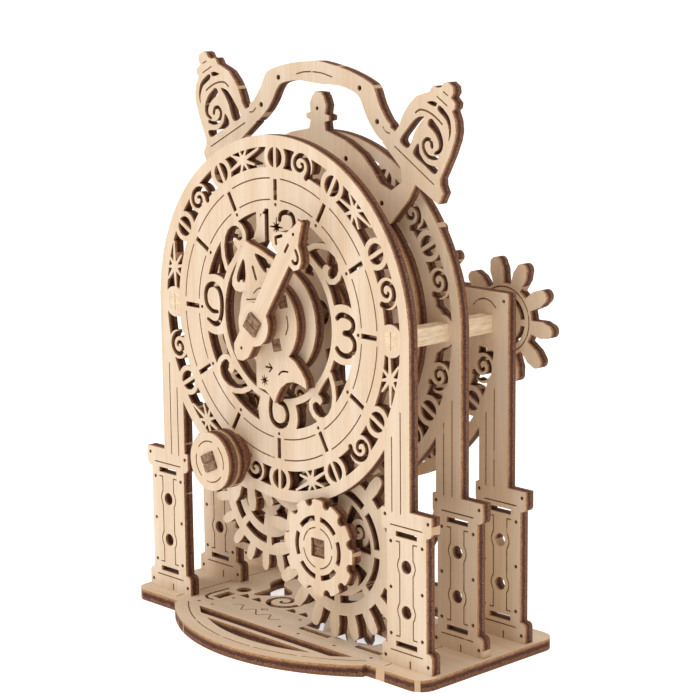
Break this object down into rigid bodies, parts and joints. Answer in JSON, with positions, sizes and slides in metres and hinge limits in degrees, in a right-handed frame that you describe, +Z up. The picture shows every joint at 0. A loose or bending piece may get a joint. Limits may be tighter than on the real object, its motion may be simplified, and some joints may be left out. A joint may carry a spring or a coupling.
{
  "type": "mechanical clock puzzle",
  "caption": "Laser-cut plywood model of an arched alarm clock with fretwork dial, hands, twin bells, handle, knob and meshed wheels on a flat board.",
  "frame": {"origin": "on the underside of the board, below the dial's axis, in the plane of the front plate's front face", "axes": "+X to the viewer's right when facing the dial, +Y from the dial to the back, +Z up"},
  "size_m": [0.113, 0.065, 0.1519],
  "materials": {
    "birch_ply": "bare laser-cut birch plywood",
    "burnt_ply": "bare plywood bars showing scorched cut faces"
  },
  "bodies": {
    "case": {"base_board": "birch_ply", "front_plate": "birch_ply", "middle_plate": "birch_ply", "back_plate": "birch_ply", "yoke_plate": "birch_ply", "beam_left": "birch_ply", "beam_right": "birch_ply"},
    "minute": {"minute_hand": "birch_ply", "minute_arbor": "burnt_ply", "minute_wheel_19": "birch_ply"},
    "hour": {"hour_hand": "birch_ply", "moon_backing": "birch_ply", "moon_peg_lower": "burnt_ply", "moon_peg_upper": "burnt_ply"},
    "rear": {"rear_wheel_10": "birch_ply"},
    "lower": {"wheel_20": "birch_ply", "front_gear_12": "birch_ply", "pinion_10": "birch_ply", "lower_arbor": "burnt_ply"},
    "knob": {"knob_front": "birch_ply", "knob_rear": "birch_ply", "knob_washer": "birch_ply", "knob_arbor": "burnt_ply", "knob_wheel_12": "birch_ply"},
    "idle": {"idle_wheel_20": "birch_ply", "idle_arbor": "burnt_ply"}
  },
  "joints": [
    {"name": "minute_turn", "type": "hinge", "parent": "case", "child": "minute", "pos_m": [0, 0, 0.08475], "axis": [0, 1, 0], "continuous": true},
    {"name": "hour_turn", "type": "hinge", "parent": "case", "child": "hour", "pos_m": [0, 0, 0.08475], "axis": [0, 1, 0], "continuous": true},
    {"name": "rear_wheel_turn", "type": "hinge", "parent": "case", "child": "rear", "pos_m": [0.041, 0, 0.08475], "axis": [0, 1, 0], "continuous": true},
    {"name": "lower_turn", "type": "hinge", "parent": "case", "child": "lower", "pos_m": [0.0177, 0, 0.0288], "axis": [0, 1, 0], "continuous": true},
    {"name": "knob_turn", "type": "hinge", "parent": "case", "child": "knob", "pos_m": [-0.0162, 0, 0.0466], "axis": [0, 1, 0], "continuous": true},
    {"name": "idle_turn", "type": "hinge", "parent": "case", "child": "idle", "pos_m": [-0.012, 0, 0.036], "axis": [0, 1, 0], "continuous": true}
  ],
  "couplings": [
    {"joint": "rear_wheel_turn", "follows": "minute_turn", "ratio": -1.9},
    {"joint": "knob_turn", "follows": "lower_turn", "ratio": -1.6667},
    {"joint": "idle_turn", "follows": "lower_turn", "ratio": -0.5}
  ]
}
